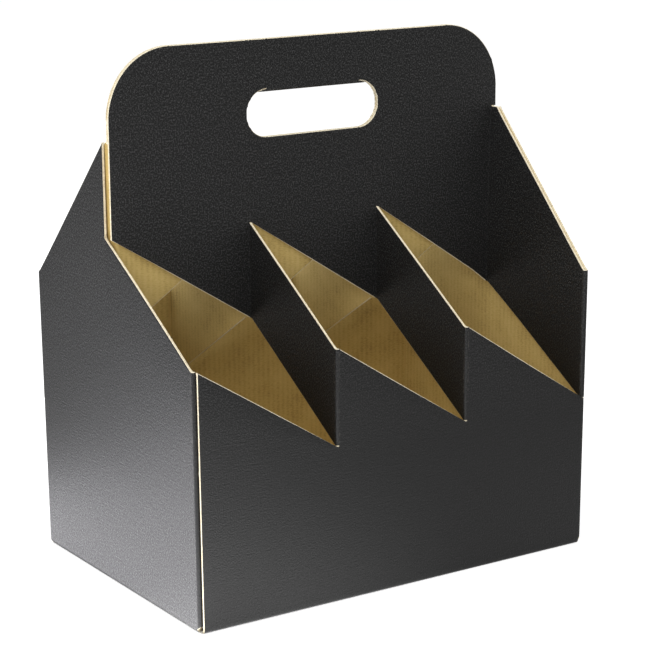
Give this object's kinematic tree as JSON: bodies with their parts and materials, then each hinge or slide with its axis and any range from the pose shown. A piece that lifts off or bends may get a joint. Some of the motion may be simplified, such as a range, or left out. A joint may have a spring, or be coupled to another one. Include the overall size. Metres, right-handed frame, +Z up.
{
  "type": "wine bottle carrier",
  "caption": "Folded corrugated board carrier with open bottle cells on both sides of a central handle with a rounded hand hole, saw-toothed walls and slanted dividers.",
  "frame": {"origin": "middle of the underside, on the surface that the carrier stands on", "axes": "+Z up, +X along the handle to the right as seen from the front, +Y from the front wall to the rear wall"},
  "size_m": [0.264, 0.18, 0.302],
  "materials": {
    "printed_board": "black satin print over fine corrugated board, natural brown inside and on the cut edges"
  },
  "bodies": {
    "root": {"folded_carrier": "printed_board"}
  },
  "joints": []
}
